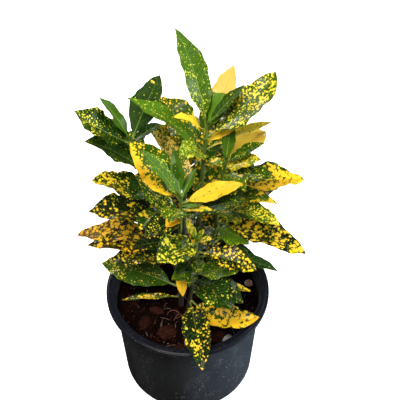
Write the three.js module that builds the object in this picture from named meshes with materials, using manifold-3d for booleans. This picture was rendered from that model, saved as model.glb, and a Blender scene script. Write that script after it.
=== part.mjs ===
// Gold-dust croton in a black plastic nursery pot.
// Millimetres, +Z up. The origin is the centre of the pot's flat underside,
// and +Y is the back of the plant.

import * as THREE from 'three';
import { mergeVertices } from 'three/addons/utils/BufferGeometryUtils.js';
import Module from 'manifold-3d';

// Pot: a thin moulded wall under a flat rim whose edge turns down.
const potHeight = 150;
const rimRadius = 100;
const rimDepth = 5.5;
const rimEdge = 1.8;
const neckRadius = 91;
const baseRadius = 84;
const baseCorner = 8;
const potWall = 1.6;
const potFloor = 2;
const potSides = 48;
const rimRounding = 1;
const drainHoles = 6;
const drainRadius = 5;
const drainCircle = 58;
const holeSides = 16;

// Potting mix: fills the pot to a little under the rim and is slightly crowned.
const mixEdgeHeight = 128;
const mixCrown = 4;
const mixGap = 0.3;
const mixCornerCut = 4;
const mixRings = [0.85, 0.6, 0.3];
const stemHoleGap = 0.4;
const stemHoleDepth = 26;

// Husk and stones lying in the mix: x, y, length, width, height, turn in degrees.
const chunks = [
  [-22, -54, 26, 18, 12, 20],
  [24, -38, 24, 13, 10, -35],
  [32, -60, 28, 18, 12, 10],
  [48, -64, 16, 12, 10, 60],
  [-52, -40, 22, 14, 8, 80],
  [-66, -4, 20, 15, 8, 30],
  [-38, -22, 18, 10, 8, -20],
  [-10, -76, 20, 12, 8, 0],
  [70, -26, 18, 12, 9, 75],
  [77, 22, 11, 10, 9, 0],
  [58, -6, 16, 10, 8, 15],
  [50, 40, 24, 16, 10, 40],
  [8, 68, 26, 15, 10, -10],
  [-44, 52, 24, 16, 10, 25],
  [-70, 28, 16, 12, 8, 70],
];
const chunkSunk = 0.5;
const chunkRoughness = 0.3;

// Leaves: a stalk and then a blade, folded up along its midrib, with a waved edge.
const leafSteps = 24;
const leafStride = 4;
const smallLeafStride = 6;
const smallLeaf = 45;
const stalkShare = 0.13;
const stalkRadius = 1.2;
const bladeThickness = 0.8;
const ribThickness = 1.3;
const tipHalfWidth = 0.5;
const foldAngle = 18;
const basePower = 0.85;
const tipPower = 0.95;
const waveShare = 0.065;
const waveCount = 2;
const waveLag = 1.3;
const fullWaveHalfWidth = 8;
const phaseStep = 2.4;

// Stems: the foot at the mix, a middle handle and the growing tip; then radii; then the leaves.
// A leaf is: place along the stem, heading, rise, length, width, droop, sweep, roll. Angles in degrees.
const stems = {
  middle_stem: {
    path: [[8, 6, 136], [14, 14, 272], [22, 10, 402]],
    radii: [3.8, 1.5],
    leaves: [
      [0.98, 104, 60, 105, 29, 12, 32, 0],
      [0.95, 40, 58, 76, 28, 12, 24, 0],
      [0.99, 20, 50, 58, 14, 6, 0, 10],
      [0.93, -8, 41, 102, 42, 14, 68, 0],
      [0.92, -158, 80, 56, 18, 60, 0, 0],
      [0.89, 15, 47, 58, 14, 30, 0, 50],
      [0.86, 20, 25, 78, 15, 25, 0, 0],
      [0.84, -122, 52, 58, 30, 30, 0, -25],
      [0.86, -179, 53, 105, 27, 20, 0, 0],
      [0.88, 75, 42, 70, 26, 20, 0, 0],
      [0.76, 115, 35, 74, 28, 30, 0, 0],
      [0.7, 62, 28, 84, 30, 35, 0, 0],
      [0.79, -45, 42, 32, 18, 30, 0, 0],
      [0.68, -102, 48, 35, 13, 30, 0, 0],
      [0.22, 6, 4, 103, 21, 32, -18, 0],
      [0.55, 72, 22, 88, 38, 30, 0, 0],
      [0.44, 88, 12, 88, 30, 30, 0, 0],
      [0.66, 165, 22, 74, 35, 30, 0, 0],
      [0.5, 30, 15, 80, 30, 30, 0, 0],
      [0.2, 75, 12, 84, 38, 35, 0, 0],
      [0.12, 30, 15, 80, 30, 35, 0, 0],
      [0.42, -71, 35, 52, 22, 30, 0, 0],
      [0.6, 148, 56, 94, 24, 20, 0, 0],
    ],
  },
  left_stem: {
    path: [[-9, 2, 136], [-22, 8, 272], [-56, 0, 388]],
    radii: [3.4, 1.5],
    leaves: [
      [0.98, -168, 37, 75, 38, -16, 0, -15],
      [0.8, -163, 61, 85, 34, 30, 0, -12],
      [1, 148, 65, 58, 17, 10, 30, 0],
      [0.99, 64, 39, 78, 32, 15, 0, 0],
      [0.62, -172, 44, 79, 40, 25, 0, 0],
      [0.52, -164, 31, 86, 44, 20, 0, 0],
      [0.38, 175, 6, 108, 38, 20, 0, 0],
      [0.3, -170, 25, 100, 29, 20, 0, 0],
      [0.22, -164, 40, 82, 36, 45, 0, 0],
      [0.97, 154, 44, 42, 20, 20, 0, -15],
      [0.78, 118, 25, 70, 34, 30, 0, 0],
      [0.6, 102, 10, 70, 38, 30, 0, 0],
      [0.46, 145, 5, 86, 40, 30, 0, 0],
      [0.55, -114, 44, 52, 24, 50, 0, 0],
      [0.34, 112, 12, 76, 28, 35, 0, 0],
      [0.7, -112, 50, 54, 30, 40, 0, -10],
      [0.99, 0, 45, 40, 16, 10, 0, 15],
    ],
  },
  front_stem: {
    path: [[-8, -14, 136], [-8, -26, 252], [-4, -45, 350]],
    radii: [3, 1.5],
    leaves: [
      [0.96, 5, 23, 67, 20, 5, 0, 20],
      [0.9, -17, 26, 36, 10, 20, 0, 0],
      [0.97, 157, 60, 84, 38, 20, 0, -35],
      [0.99, -162, 69, 88, 22, 10, 0, -28],
      [1, 107, 65, 54, 14, 8, 0, 0],
      [1, 55, 43, 35, 10, 5, 0, 0],
      [0.9, -109, 45, 38, 24, 40, 0, 0],
      [0.15, 157, 10, 108, 38, 25, 0, -25],
      [0.74, 174, 65, 82, 28, 14, 0, -22],
      [0.8, -132, 34, 56, 28, 30, 0, -8],
      [0.83, -121, 24, 29, 15, 6, 0, 0],
      [0.58, -155, 40, 60, 26, 40, 0, 0],
      [0.82, -4, 40, 74, 28, 30, 0, 0],
      [0.06, 176, -4, 75, 15, 13, 0, 22],
      [0.27, -84, 38, 34, 13, 70, 0, 0],
    ],
  },
  right_stem: {
    path: [[18, 0, 136], [34, 4, 252], [42, 0, 362]],
    radii: [3.2, 1.5],
    leaves: [
      [0.99, 74, 58, 44, 15, 5, 0, 0],
      [0.98, 46, 14, 64, 34, 20, 0, 0],
      [0.97, -16, 53, 56, 15, 15, 0, 25],
      [0.94, -26, 47, 50, 22, 20, 0, 20],
      [0.88, -30, 41, 67, 22, 30, 0, 15],
      [0.82, 11, 6, 93, 42, 20, 0, 0],
      [0.7, -38, 29, 82, 26, 35, 0, 0],
      [0.74, -24, 31, 69, 18, 30, 0, 0],
      [0.56, -28, 18, 110, 39, 30, 0, 0],
      [0.52, -41, 29, 50, 34, 40, 0, 10],
      [0.9, -63, 40, 50, 20, 40, 0, 0],
      [0.62, -54, 51, 46, 20, 50, 0, 0],
      [0.78, 60, 20, 66, 38, 30, 0, 0],
      [0.62, 35, 15, 92, 40, 30, 0, 0],
      [0.48, 62, 18, 88, 38, 30, 0, 0],
      [0.4, 40, 8, 80, 40, 30, 0, 0],
      [0.7, 90, 30, 76, 28, 30, 0, 0],
      [0.3, 75, 30, 80, 35, 35, 0, 0],
      [0.15, 100, 30, 72, 28, 40, 0, 0],
    ],
  },
  back_stem: {
    path: [[-4, 22, 136], [-6, 42, 242], [2, 54, 330]],
    radii: [3.2, 1.5],
    leaves: [
      [0.98, 112, 66, 70, 42, 50, 30, 0],
      [0.93, 176, 58, 64, 28, 30, 0, 0],
      [0.92, 80, 30, 60, 24, 30, 0, 0],
      [0.82, 50, 32, 76, 28, 30, 0, 0],
      [0.74, 100, 20, 90, 38, 35, 0, 0],
      [0.64, 150, 15, 66, 40, 30, 0, 0],
      [0.54, 70, 10, 96, 40, 30, 0, 0],
      [0.46, 120, 10, 98, 36, 30, 0, 0],
      [0.36, 30, 5, 96, 40, 30, 0, 0],
      [0.28, 165, 5, 92, 40, 30, 0, 0],
      [0.22, 90, 10, 96, 30, 35, 0, 0],
      [0.88, 120, 25, 66, 26, 30, 0, 0],
      [0.7, 45, 12, 80, 35, 30, 0, 0],
      [0.5, 15, 12, 84, 38, 30, 0, 0],
      [0.15, 135, 15, 86, 38, 35, 0, 0],
      [0.12, 62, 20, 90, 38, 35, 0, 0],
    ],
  },
  low_stem: {
    path: [[1, -20, 136], [8, -29, 204], [12, -40, 280]],
    radii: [2.6, 1.4],
    leaves: [
      [0.53, -2, 25, 57, 30, 22, 0, 8],
      [0.43, -48, 30, 70, 44, 40, 0, 0],
      [0.47, -32, 16, 68, 34, 30, 0, 5],
      [0.13, -50, -2, 92, 34, -10, 60, 10],
      [0.11, -81, 26, 104, 34, 50, 0, 0],
      [0.49, -137, 52, 40, 20, 34, 0, 0],
      [0.6, -24, 85, 36, 12, 10, 0, 0],
      [0.36, -6, 14, 70, 15, 30, 0, 0],
      [0.97, -135, 33, 60, 42, 36, 0, -8],
      [0.99, 124, 43, 27, 9, 10, 0, 0],
      [0.99, -18, 37, 20, 10, 10, 0, 0],
      [0.99, 28, 66, 18, 8, 10, 0, 0],
      [0.68, -130, 36, 34, 18, 30, 0, 0],
      [0.86, -18, 8, 70, 30, 26, 0, 10],
    ],
  },
};
const stemRings = 10;
const stemSides = 8;

const radians = THREE.MathUtils.degToRad;
const wasm = await Module();
wasm.setup();

// Seeded draws from 0 to 1, for the husk's irregular corners.
function draws(seed) {
  let state = seed;
  return () => {
    state = (state * 1664525 + 1013904223) % 4294967296;
    return state / 4294967296;
  };
}

// Closed geometry to solid and back, for joining and cutting.
function solidOf(geometry) {
  const bare = geometry.clone();
  bare.deleteAttribute('normal');
  bare.deleteAttribute('uv');
  const merged = mergeVertices(bare, 1e-4);
  const vertProperties = new Float32Array(merged.attributes.position.array);
  const triVerts = new Uint32Array(merged.index.array);
  return new wasm.Manifold(new wasm.Mesh({ numProp: 3, vertProperties, triVerts }));
}

function geometryOf(solid) {
  const mesh = solid.getMesh();
  const geometry = new THREE.BufferGeometry();
  geometry.setAttribute('position', new THREE.BufferAttribute(new Float32Array(mesh.vertProperties), 3));
  geometry.setIndex(new THREE.BufferAttribute(new Uint32Array(mesh.triVerts), 1));
  geometry.computeVertexNormals();
  return geometry;
}

function indexed(points, faces) {
  const geometry = new THREE.BufferGeometry().setFromPoints(points);
  geometry.setIndex(faces);
  return geometry;
}

// A lathe turned about Z from [radius, height] points.
function turned(profile) {
  const points = profile.map(([radius, height]) => new THREE.Vector2(radius, height));
  return new THREE.LatheGeometry(points, potSides).rotateX(Math.PI / 2);
}

// Radius of the pot's outer wall at a height above its rounded corner.
function wallRadius(height) {
  return THREE.MathUtils.mapLinear(height, baseCorner, potHeight, baseRadius, neckRadius);
}

function potProfile() {
  const corner = [];
  const cornerSteps = 4;
  for (let step = 0; step <= cornerSteps; step += 1) {
    const angle = (step / cornerSteps) * (Math.PI / 2);
    corner.push([
      baseRadius - baseCorner + baseCorner * Math.sin(angle),
      baseCorner - baseCorner * Math.cos(angle),
    ]);
  }
  const under = potHeight - potWall;
  const lip = potHeight - rimDepth;
  const inner = neckRadius - potWall;
  return [
    [0, 0],
    ...corner,
    [wallRadius(under), under],
    [rimRadius - rimEdge, under],
    [rimRadius - rimEdge, lip],
    [rimRadius, lip],
    [rimRadius, potHeight - rimRounding],
    [rimRadius - rimRounding, potHeight],
    [inner + rimRounding, potHeight],
    [inner, potHeight - rimRounding],
    [wallRadius(baseCorner) - potWall, baseCorner],
    [baseRadius - baseCorner, potFloor],
    [0, potFloor],
  ];
}

function makePot() {
  let solid = solidOf(turned(potProfile()));
  for (let hole = 0; hole < drainHoles; hole += 1) {
    const angle = ((hole + 0.5) / drainHoles) * 2 * Math.PI;
    const drill = new THREE.CylinderGeometry(drainRadius, drainRadius, 4 * potFloor, holeSides);
    drill.rotateX(Math.PI / 2);
    drill.translate(drainCircle * Math.cos(angle), drainCircle * Math.sin(angle), 0);
    solid = solid.subtract(solidOf(drill));
  }
  return geometryOf(solid);
}

// Height of the mix's smooth surface at a radius from the pot's axis.
function mixHeight(radius) {
  return mixEdgeHeight + mixCrown * (1 - (radius / neckRadius) ** 2);
}

// One piece of husk or stone: a rough ball squashed to size.
function chunkGeometry([x, y, length, width, height, turn], number) {
  const draw = draws(number + 1);
  const rough = new THREE.IcosahedronGeometry(0.5, 0);
  rough.deleteAttribute('normal');
  rough.deleteAttribute('uv');
  const geometry = mergeVertices(rough);
  const corners = geometry.attributes.position;
  for (let index = 0; index < corners.count; index += 1) {
    const stretch = 1 + chunkRoughness * (draw() - 0.5);
    const corner = new THREE.Vector3().fromBufferAttribute(corners, index).multiplyScalar(stretch);
    corners.setXYZ(index, corner.x, corner.y, corner.z);
  }
  geometry.scale(length, width, height).rotateZ(radians(turn));
  return geometry.translate(x, y, mixHeight(Math.hypot(x, y)) + height * (0.5 - chunkSunk));
}

// Straight hole that a stem's foot stands in.
function stemHole({ path: [[x, y, z]], radii: [radius] }) {
  const top = z + stemHoleDepth;
  const bottom = z - stemHoleDepth - mixGap;
  const wide = radius + stemHoleGap;
  const hole = new THREE.CylinderGeometry(wide, wide, top - bottom, holeSides);
  return hole.rotateX(Math.PI / 2).translate(x, y, (top + bottom) / 2);
}

function makeMix() {
  const bottom = potFloor + mixGap;
  const inner = (height) => wallRadius(height) - potWall - mixGap;
  const profile = [
    [0, bottom],
    [baseRadius - baseCorner - mixCornerCut, bottom],
    [inner(2 * baseCorner) - 2 * mixGap, 2 * baseCorner],
    [inner(mixEdgeHeight), mixEdgeHeight],
  ];
  for (const share of mixRings) {
    profile.push([share * neckRadius, mixHeight(share * neckRadius)]);
  }
  profile.push([0, mixHeight(0)]);
  let solid = solidOf(turned(profile));
  chunks.forEach((chunk, number) => {
    solid = solid.add(solidOf(chunkGeometry(chunk, number)));
  });
  for (const stem of Object.values(stems)) {
    solid = solid.subtract(solidOf(stemHole(stem)));
  }
  return geometryOf(solid);
}

// A stem's wood: level rings from the foot of its hole up along its curve, getting thinner.
function stemGeometry(curve, { path: [foot], radii: [footRadius, tipRadius] }) {
  const bottom = new THREE.Vector3(foot[0], foot[1], foot[2] - stemHoleDepth);
  const centres = [bottom, ...curve.getPoints(stemRings - 1)];
  const points = [];
  centres.forEach((centre, ring) => {
    const radius = THREE.MathUtils.lerp(footRadius, tipRadius, Math.max(0, ring - 1) / (stemRings - 1));
    for (let side = 0; side < stemSides; side += 1) {
      const angle = (side / stemSides) * 2 * Math.PI;
      points.push(new THREE.Vector3(radius * Math.cos(angle), radius * Math.sin(angle), 0).add(centre));
    }
  });
  const faces = [];
  const last = centres.length - 1;
  for (let side = 0; side < stemSides; side += 1) {
    const next = (side + 1) % stemSides;
    for (let ring = 0; ring < last; ring += 1) {
      const low = ring * stemSides;
      const high = low + stemSides;
      faces.push(low + side, low + next, high + next, low + side, high + next, high + side);
    }
    if (side > 0 && next > 0) {
      faces.push(0, next, side);
      faces.push(last * stemSides, last * stemSides + side, last * stemSides + next);
    }
  }
  return indexed(points, faces);
}

// Half-width of a leaf at a share of its length: a thin stalk, then the blade.
function halfWidth(share, width) {
  const along = Math.max(0, (share - stalkShare) / (1 - stalkShare));
  const widest = basePower / (basePower + tipPower);
  const peak = widest ** basePower * (1 - widest) ** tipPower;
  const blade = (width / 2) * (along ** basePower * (1 - along) ** tipPower) / peak;
  return Math.max(blade, share < 1 ? stalkRadius : tipHalfWidth);
}

// Direction along a leaf, with its sideways and upward directions after the roll.
function leafFrame(heading, rise, roll) {
  const level = new THREE.Vector3(Math.cos(heading), Math.sin(heading), 0);
  const along = level.multiplyScalar(Math.cos(rise)).setZ(Math.sin(rise));
  const side = new THREE.Vector3(-Math.sin(heading), Math.cos(heading), 0).applyAxisAngle(along, roll);
  return { along, side, up: along.clone().cross(side) };
}

// A leaf's upper and lower surface points, row by row from the stem to the tip.
function leafRows([at, heading, rise, length, width, droop, sweep, roll], curve, number) {
  const centre = curve.getPoint(at);
  const frameAt = (share) => {
    return leafFrame(radians(heading + sweep * share), radians(rise - droop * share), radians(roll));
  };
  const stride = length < smallLeaf ? smallLeafStride : leafStride;
  const upper = [];
  const lower = [];
  for (let step = 0; step <= leafSteps; step += 1) {
    const share = step / leafSteps;
    if (step % stride === 0) {
      const { side, up } = frameAt(share);
      const half = halfWidth(share, width);
      const along = Math.max(0, (share - stalkShare) / (1 - stalkShare));
      const wave = waveShare * width * Math.min(1, half / fullWaveHalfWidth);
      const row = [-1, 0, 1].map((across) => {
        const phase = 2 * Math.PI * waveCount * along + phaseStep * number + (across > 0 ? waveLag : 0);
        const lift = Math.abs(across) * (half * Math.sin(radians(foldAngle)) + wave * Math.sin(phase));
        return centre.clone()
          .addScaledVector(side, across * half * Math.cos(radians(foldAngle)))
          .addScaledVector(up, lift);
      });
      const thickness = [-1, 0, 1].map((across) => (across === 0 ? ribThickness : bladeThickness) / 2);
      upper.push(row.map((point, across) => point.clone().addScaledVector(up, thickness[across])));
      lower.push(row.map((point, across) => point.clone().addScaledVector(up, -thickness[across])));
    }
    centre.addScaledVector(frameAt(share + 0.5 / leafSteps).along, length / leafSteps);
  }
  return { upper, lower };
}

// Closes two facing grids of points into one thin body, split alike on both faces.
function sheetGeometry(upper, lower) {
  const rows = upper.length;
  const columns = upper[0].length;
  const top = (row, column) => row * columns + column;
  const bottom = (row, column) => rows * columns + top(row, column);
  const faces = [];
  const quad = (a, b, c, d) => faces.push(a, b, c, a, c, d);
  for (let row = 0; row < rows - 1; row += 1) {
    for (let column = 0; column < columns - 1; column += 1) {
      const corners = [[row, column], [row + 1, column], [row + 1, column + 1], [row, column + 1]];
      const [a, b, c, d] = corners.map((corner) => top(...corner));
      const [e, f, g, h] = corners.map((corner) => bottom(...corner));
      faces.push(a, b, c, a, c, d);
      faces.push(e, g, f, e, h, g);
    }
    const edge = columns - 1;
    quad(bottom(row, 0), bottom(row + 1, 0), top(row + 1, 0), top(row, 0));
    quad(top(row, edge), top(row + 1, edge), bottom(row + 1, edge), bottom(row, edge));
  }
  for (let column = 0; column < columns - 1; column += 1) {
    const end = rows - 1;
    quad(top(0, column), top(0, column + 1), bottom(0, column + 1), bottom(0, column));
    quad(bottom(end, column), bottom(end, column + 1), top(end, column + 1), top(end, column));
  }
  return indexed([...upper.flat(), ...lower.flat()], faces);
}

function leafGeometry(leaf, curve, number) {
  const { upper, lower } = leafRows(leaf, curve, number);
  return sheetGeometry(upper, lower);
}

// One grown piece: the wood with every leaf's stalk sunk into it.
function makeStem(stem) {
  const curve = new THREE.QuadraticBezierCurve3(...stem.path.map((point) => new THREE.Vector3(...point)));
  let solid = solidOf(stemGeometry(curve, stem));
  stem.leaves.forEach((leaf, number) => {
    solid = solid.add(solidOf(leafGeometry(leaf, curve, number)));
  });
  return geometryOf(solid);
}

function named(name, geometry, color, roughness) {
  const mesh = new THREE.Mesh(geometry, new THREE.MeshStandardMaterial({ color, roughness, metalness: 0 }));
  mesh.name = name;
  return mesh;
}

const croton = new THREE.Group();
croton.add(named('pot', makePot(), 0x26292e, 0.5));
croton.add(named('potting_mix', makeMix(), 0x2a1a14, 0.95));
for (const [name, stem] of Object.entries(stems)) {
  croton.add(named(name, makeStem(stem), 0x4f8a2c, 0.35));
}

export default croton;
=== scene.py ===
import math
import random

import bmesh
import bpy
import numpy as np
from mathutils import Matrix, Vector, noise


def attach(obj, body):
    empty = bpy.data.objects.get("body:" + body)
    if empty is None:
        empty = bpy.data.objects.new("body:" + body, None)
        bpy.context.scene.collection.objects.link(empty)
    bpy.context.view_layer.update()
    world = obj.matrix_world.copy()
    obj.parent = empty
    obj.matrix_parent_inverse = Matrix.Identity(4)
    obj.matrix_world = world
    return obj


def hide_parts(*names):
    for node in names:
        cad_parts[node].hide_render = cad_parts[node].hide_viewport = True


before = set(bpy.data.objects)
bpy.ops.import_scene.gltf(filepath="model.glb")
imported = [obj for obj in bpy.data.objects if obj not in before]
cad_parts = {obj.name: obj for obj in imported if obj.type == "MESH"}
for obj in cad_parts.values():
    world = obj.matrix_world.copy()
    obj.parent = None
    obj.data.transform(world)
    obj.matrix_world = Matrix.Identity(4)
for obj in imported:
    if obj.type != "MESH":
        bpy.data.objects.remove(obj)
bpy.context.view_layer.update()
mm = 0.001
print("frame loaded:", sorted(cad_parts))


# a socket that can be used in sums, and a material that starts from one shader

class Wire:
    def __init__(self, tree, socket):
        self.tree = tree
        self.socket = socket

    # any node: its type, its settings (set first), then values or wires for its sockets
    def make(self, kind, settings=None, inputs=None, output=0):
        node = self.tree.nodes.new(kind)
        for name, value in (settings or {}).items():
            if name == "stops":
                setStops(node.color_ramp, value)
            else:
                setattr(node, name, value)
        for name, value in (inputs or {}).items():
            if isinstance(value, Wire):
                self.tree.links.new(value.socket, node.inputs[name])
            else:
                node.inputs[name].default_value = value
        return Wire(self.tree, node.outputs[output])

    def math(self, operation, *values, clamp=False):
        settings = {"operation": operation, "use_clamp": clamp}
        return self.make("ShaderNodeMath", settings, dict(enumerate(values)))

    def __add__(self, other):
        return self.math("ADD", self, other)

    def __sub__(self, other):
        return self.math("SUBTRACT", self, other)

    def __rsub__(self, other):
        return self.math("SUBTRACT", other, self)

    def __mul__(self, other):
        return self.math("MULTIPLY", self, other)

    def __truediv__(self, other):
        return self.math("DIVIDE", self, other)

    def __rtruediv__(self, other):
        return self.math("DIVIDE", other, self)

    __radd__ = __add__
    __rmul__ = __mul__

    def clamped(self):
        return self.math("ADD", self, 0, clamp=True)

    def atMost(self, other):
        return self.math("MINIMUM", self, other)

    def atLeast(self, other):
        return self.math("MAXIMUM", self, other)

    def size(self):
        return self.math("ABSOLUTE", self)

    def fraction(self):
        return self.math("FRACT", self)

    def sine(self):
        return self.math("SINE", self)

    # vectors
    def moved(self, other):
        return self.make("ShaderNodeVectorMath", {"operation": "ADD"}, {0: self, 1: other})

    def scaled(self, factor):
        inputs = {0: self, "Scale": factor}
        return self.make("ShaderNodeVectorMath", {"operation": "SCALE"}, inputs)

    def stretched(self, factors):
        return self.make("ShaderNodeVectorMath", {"operation": "MULTIPLY"}, {0: self, 1: factors})

    def part(self, axis):
        return self.make("ShaderNodeSeparateXYZ", {}, {"Vector": self}, axis)

    # textures read at this place
    def cloud(self, scale, detail=2, output="Fac"):
        inputs = {"Vector": self, "Scale": scale, "Detail": detail}
        return self.make("ShaderNodeTexNoise", {}, inputs, output)

    def cells(self, scale, output="Distance"):
        return self.make("ShaderNodeTexVoronoi", {}, {"Vector": self, "Scale": scale}, output)

    # colours: from this one to another
    def towards(self, other, factor):
        return blended(self.tree, self, other, factor)


def setStops(ramp, stops):
    while len(ramp.elements) < len(stops):
        ramp.elements.new(1)
    for element, (position, colour) in zip(ramp.elements, stops):
        element.position = position
        element.color = colour


# sockets 0, 6 and 7 are the factor and the two colours, and output 2 is the colour
def blended(tree, first, second, factor):
    start = Wire(tree, None)
    return start.make("ShaderNodeMix", {"data_type": "RGBA"}, {0: factor, 6: first, 7: second}, 2)


class Finish:
    def __init__(self, name, **values):
        self.material = bpy.data.materials.new(name)
        self.material.use_nodes = True
        self.tree = self.material.node_tree
        self.shader = self.tree.nodes["Principled BSDF"]
        for socket, value in values.items():
            self.shader.inputs[socket.replace("_", " ")].default_value = value

    def make(self, kind, settings=None, inputs=None, output=0):
        return Wire(self.tree, None).make(kind, settings, inputs, output)

    def attribute(self, name):
        return self.make("ShaderNodeAttribute", {"attribute_name": name}, {}, "Vector")

    def place(self):
        return self.make("ShaderNodeTexCoord", {}, {}, "Object")

    def mix(self, first, second, factor):
        return blended(self.tree, first, second, factor)

    def into(self, socket, wire):
        self.tree.links.new(wire.socket, self.shader.inputs[socket])

    def bump(self, height, strength, distance):
        inputs = {"Height": height, "Strength": strength, "Distance": distance}
        self.into("Normal", self.make("ShaderNodeBump", {}, inputs))


# mesh helpers

# a piece of the object, in metres, with the CAD nodes that it stands for
def newPiece(name, points, faces, finishes, replaced=(), slots=None, smoothAngle=40):
    mesh = bpy.data.meshes.new(name)
    mesh.from_pydata([tuple(point) for point in points], [], [tuple(face) for face in faces])
    for finish in finishes:
        mesh.materials.append(finish.material)
    if slots is not None:
        mesh.polygons.foreach_set("material_index", slots)
    mesh.shade_smooth()
    mesh.set_sharp_from_angle(angle=math.radians(smoothAngle))
    mesh.update()
    piece = bpy.data.objects.new(name, mesh)
    bpy.context.scene.collection.objects.link(piece)
    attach(piece, "root")
    if replaced:
        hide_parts(*replaced)
    return piece


def addVectors(piece, name, values):
    layer = piece.data.attributes.new(name, "FLOAT_VECTOR", "POINT")
    layer.data.foreach_set("vector", np.asarray(values, np.float32).ravel())


# rings of points joined into a skin, each ring closed on itself, with flat ends where asked
def skinFaces(rings, sides, capStart, capEnd, first=0):
    faces = []
    for ring in range(rings - 1):
        for side in range(sides):
            following = (side + 1) % sides
            low = first + ring * sides
            high = low + sides
            faces.append((low + side, low + following, high + following, high + side))
    if capStart:
        faces.append(tuple(first + side for side in reversed(range(sides))))
    if capEnd:
        last = first + (rings - 1) * sides
        faces.append(tuple(last + side for side in range(sides)))
    return faces


def arcPoints(centre, radius, start, end, steps):
    points = []
    for step in range(steps + 1):
        angle = math.radians(start + (end - start) * step / steps)
        points.append((centre[0] + radius * math.cos(angle), centre[1] + radius * math.sin(angle)))
    return points


def turnedRings(profile, sides):
    points = []
    for radius, height in profile:
        for side in range(sides):
            angle = 2 * math.pi * side / sides
            x, y = radius * math.cos(angle), radius * math.sin(angle)
            points.append((x * mm, y * mm, height * mm))
    return points


# camera, floor and light

studio = {
    "cameraPlace": (0.0152, -0.610, 0.930),
    "cameraDown": 45.8,  # degrees below level
    "lens": 72,
    "cameraReach": 50,
    "floorColours": [(0.93, 0.93, 0.92, 1), (0.9, 0.9, 0.89, 1)],
    "floorGlow": 0.85,
    "floorRadius": 6,
    "floorSides": 64,
    "wallHeight": 7,
    "skyStrength": 0.34,
    # place and shade, from straight down to straight up
    "skyShades": [(0.0, 0.06), (0.46, 0.10), (0.54, 0.55), (1.0, 1.0)],
    "lampTarget": (0, 0, 0.25),
    # place, size across, power and colour
    "lamps": {
        "key": [(-0.4, -0.75, 2.0), 1.1, 55, (1.0, 0.96, 0.88)],
        "side": [(1.25, -0.35, 0.45), 0.9, 34, (0.80, 0.88, 1.0)],
        "back": [(-0.8, 1.4, 0.55), 1.0, 16, (1.0, 1.0, 1.0)],
    },
}


def makeStudio():
    scene = bpy.context.scene
    scene.view_settings.view_transform = "Standard"
    camera = bpy.data.objects.new("camera", bpy.data.cameras.new("camera"))
    camera.data.lens = studio["lens"]
    camera.data.clip_end = studio["cameraReach"]
    camera.location = studio["cameraPlace"]
    camera.rotation_euler = (math.radians(90 - studio["cameraDown"]), 0, 0)
    scene.collection.objects.link(camera)
    scene.camera = camera

    world = bpy.data.worlds.new("softSky")
    world.use_nodes = True
    sky = world.node_tree.nodes["Background"]
    sky.inputs["Strength"].default_value = studio["skyStrength"]
    start = Wire(world.node_tree, None)
    height = start.make("ShaderNodeTexCoord", {}, {}, "Generated").part(2) * 0.5 + 0.5
    stops = [(place, (shade, shade, shade, 1)) for place, shade in studio["skyShades"]]
    shade = start.make("ShaderNodeValToRGB", {"stops": stops}, {"Fac": height})
    world.node_tree.links.new(shade.socket, sky.inputs["Color"])
    scene.world = world

    for name, (place, size, power, colour) in studio["lamps"].items():
        lamp = bpy.data.objects.new(name, bpy.data.lights.new(name, "AREA"))
        lamp.data.shape = "DISK"
        lamp.data.size = size
        lamp.data.energy = power
        lamp.data.color = colour
        lamp.location = place
        aim = Vector(studio["lampTarget"]) - lamp.location
        lamp.rotation_mode = "QUATERNION"
        lamp.rotation_quaternion = aim.to_track_quat("-Z", "Y")
        scene.collection.objects.link(lamp)

    # a round floor with a plain wall far behind the plant
    reach, sides = studio["floorRadius"], studio["floorSides"]
    rings = [(0, 0), (reach, 0), (reach, studio["wallHeight"])]
    points, turn = [], 2 * math.pi / sides
    for radius, height in rings:
        for side in range(sides):
            points.append((radius * math.cos(turn * side), radius * math.sin(turn * side), height))
    mesh = bpy.data.meshes.new("floor")
    mesh.from_pydata(points, [], skinFaces(len(rings), sides, False, False))
    floor = bpy.data.objects.new("floor", mesh)
    scene.collection.objects.link(floor)
    paper = Finish("palePaper", Roughness=0.9, Emission_Color=(1, 1, 1, 1),
                   Emission_Strength=studio["floorGlow"])
    grain = paper.place().cloud(60)
    paper.into("Base Color", paper.mix(*studio["floorColours"], grain))
    mesh.materials.append(paper.material)
    # its glow is only for the camera, so that it doesn't wash out the plant
    floor.visible_diffuse = False
    floor.visible_glossy = False
    floor.visible_shadow = False
    print("studio ready")


makeStudio()


# the pot: a thin moulded wall under a flat rim with a raised bead

pot = {
    "height": 150, "rimRadius": 100, "rimDepth": 5.5, "rimEdge": 1.8,
    "neckRadius": 91, "baseRadius": 84, "baseCorner": 8, "wall": 1.6, "floor": 2,
    "sides": 160,
    "beadRadius": 96.6,     # middle of the raised line round the rim's top
    "rimDip": 0.7,          # how far the rim's top lies under the bead
    "drainHoles": 6, "drainRadius": 5, "drainCircle": 58, "drillSides": 32,
    "hazeScale": 14, "streakScale": 90, "patchScale": 26, "filmScale": 38,
    "speckScale": 520, "splashScale": 190, "mouldLines": 2600,
    "rimTopStart": 0.1465,  # metres, where the rim's top with painted shade begins
    "colour": (0.018, 0.0187, 0.0185, 1),
    # the rim's top: painted shade, darker than the body's plastic
    "rim": (0.0045, 0.0052, 0.0085, 1),
    # greyed plastic, also the colour of the painted sheen on the right side
    "greyedAndSheen": (0.052, 0.060, 0.072, 1),
    "dust": (0.34, 0.35, 0.37, 1),
}


def wallRadius(height):
    share = (height - pot["baseCorner"]) / (pot["height"] - pot["baseCorner"])
    return pot["baseRadius"] + share * (pot["neckRadius"] - pot["baseRadius"])


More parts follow.
